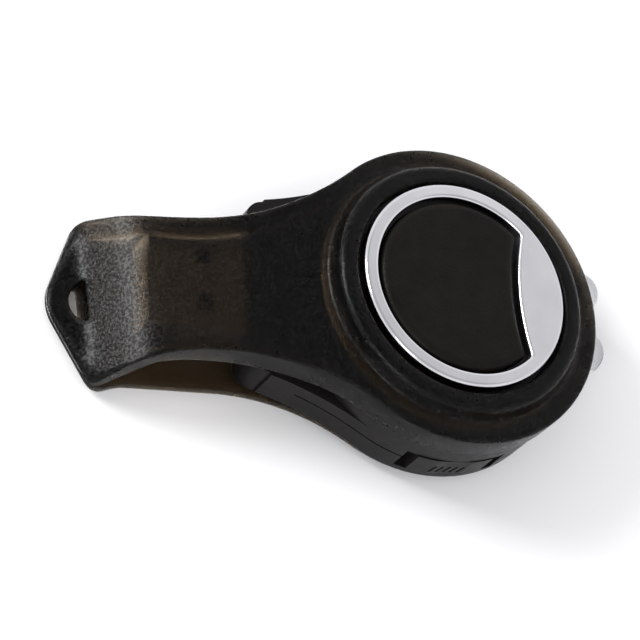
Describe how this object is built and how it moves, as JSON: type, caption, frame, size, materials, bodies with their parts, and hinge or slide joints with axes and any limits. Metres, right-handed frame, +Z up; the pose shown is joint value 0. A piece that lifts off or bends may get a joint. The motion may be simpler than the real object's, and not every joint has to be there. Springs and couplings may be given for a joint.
{
  "type": "training whistle",
  "caption": "Pocket electronic training whistle: round core with thumb button, lamps and slide switch that swivels out of a waisted smoke cover to bare its charging plug.",
  "frame": {"origin": "swivel axis of the core, on the face that rests on the table", "axes": "+X from the nose towards the lamps along the cover's middle, +Y away from the slide switch, +Z up through the thumb button"},
  "size_m": [0.0649, 0.0348, 0.0141],
  "materials": {
    "smoke_cover": "smoke-brown translucent plastic, spark-eroded satin grain",
    "case_black": "satin moulded plastic",
    "bezel_chrome": "polished rim with a satin crescent",
    "button_black": "fine spark-eroded grain",
    "washer_white": "slippery natural plastic",
    "lamp_clear": "clear moulded lens",
    "plug_steel": "plated sheet",
    "tongue_white": "moulded insulator",
    "contact_gold": "plated strips",
    "board_green": "solder resist",
    "chip_black": "moulded package",
    "cap_tan": "ceramic body",
    "coil_dark": "ferrite",
    "cell_steel": "plated can",
    "tin_steel": "tinned sheet",
    "screw_steel": "zinc plated"
  },
  "bodies": {
    "cover": {"top_cover": "smoke_cover", "bottom_cover": "smoke_cover"},
    "core": {"swivel_washer": "washer_white", "pivot_cap": "case_black", "upper_case": "case_black", "lower_case": "case_black", "chrome_bezel": "bezel_chrome", "snap_dome": "tin_steel", "switch_frame": "tin_steel", "switch_base": "chip_black", "circuit_board": "board_green", "controller_chip": "chip_black", "charger_chip": "chip_black", "chip_resistors": "chip_black", "chip_capacitors": "cap_tan", "boost_coil": "coil_dark", "sounder": "chip_black", "cell": "cell_steel", "cell_tabs": "tin_steel", "plug_shell": "plug_steel", "plug_tongue": "tongue_white", "plug_contacts": "contact_gold", "lamp_near": "lamp_clear", "lamp_far": "lamp_clear", "lamp_leads": "tin_steel", "slide_switch_body": "tin_steel", "slide_switch_pins": "tin_steel", "case_screws": "screw_steel"},
    "button": {"thumb_button": "button_black"},
    "plunger": {"switch_plunger": "chip_black"},
    "slider": {"slide_knob": "case_black", "slide_lever": "chip_black"}
  },
  "joints": [
    {"name": "core_swivel", "type": "hinge", "parent": "cover", "child": "core", "pos_m": [0, 0, 0], "axis": [0, 0, 1], "range_deg": [-100.1, 109.9]},
    {"name": "button_press", "type": "slide", "parent": "core", "child": "button", "axis": [0, 0, -1], "range_m": [0, 0.0005], "stiffness_N_per_m": 3000, "deforming": ["snap_dome"]},
    {"name": "plunger_press", "type": "slide", "parent": "core", "child": "plunger", "axis": [0, 0, -1], "range_m": [0, 0.0005]},
    {"name": "slide_switch", "type": "slide", "parent": "core", "child": "slider", "axis": [0.9996, 0.0279, 0], "range_m": [-0.0012, 0.0014]}
  ],
  "couplings": [
    {"joint": "plunger_press", "follows": "button_press", "ratio": 1}
  ]
}
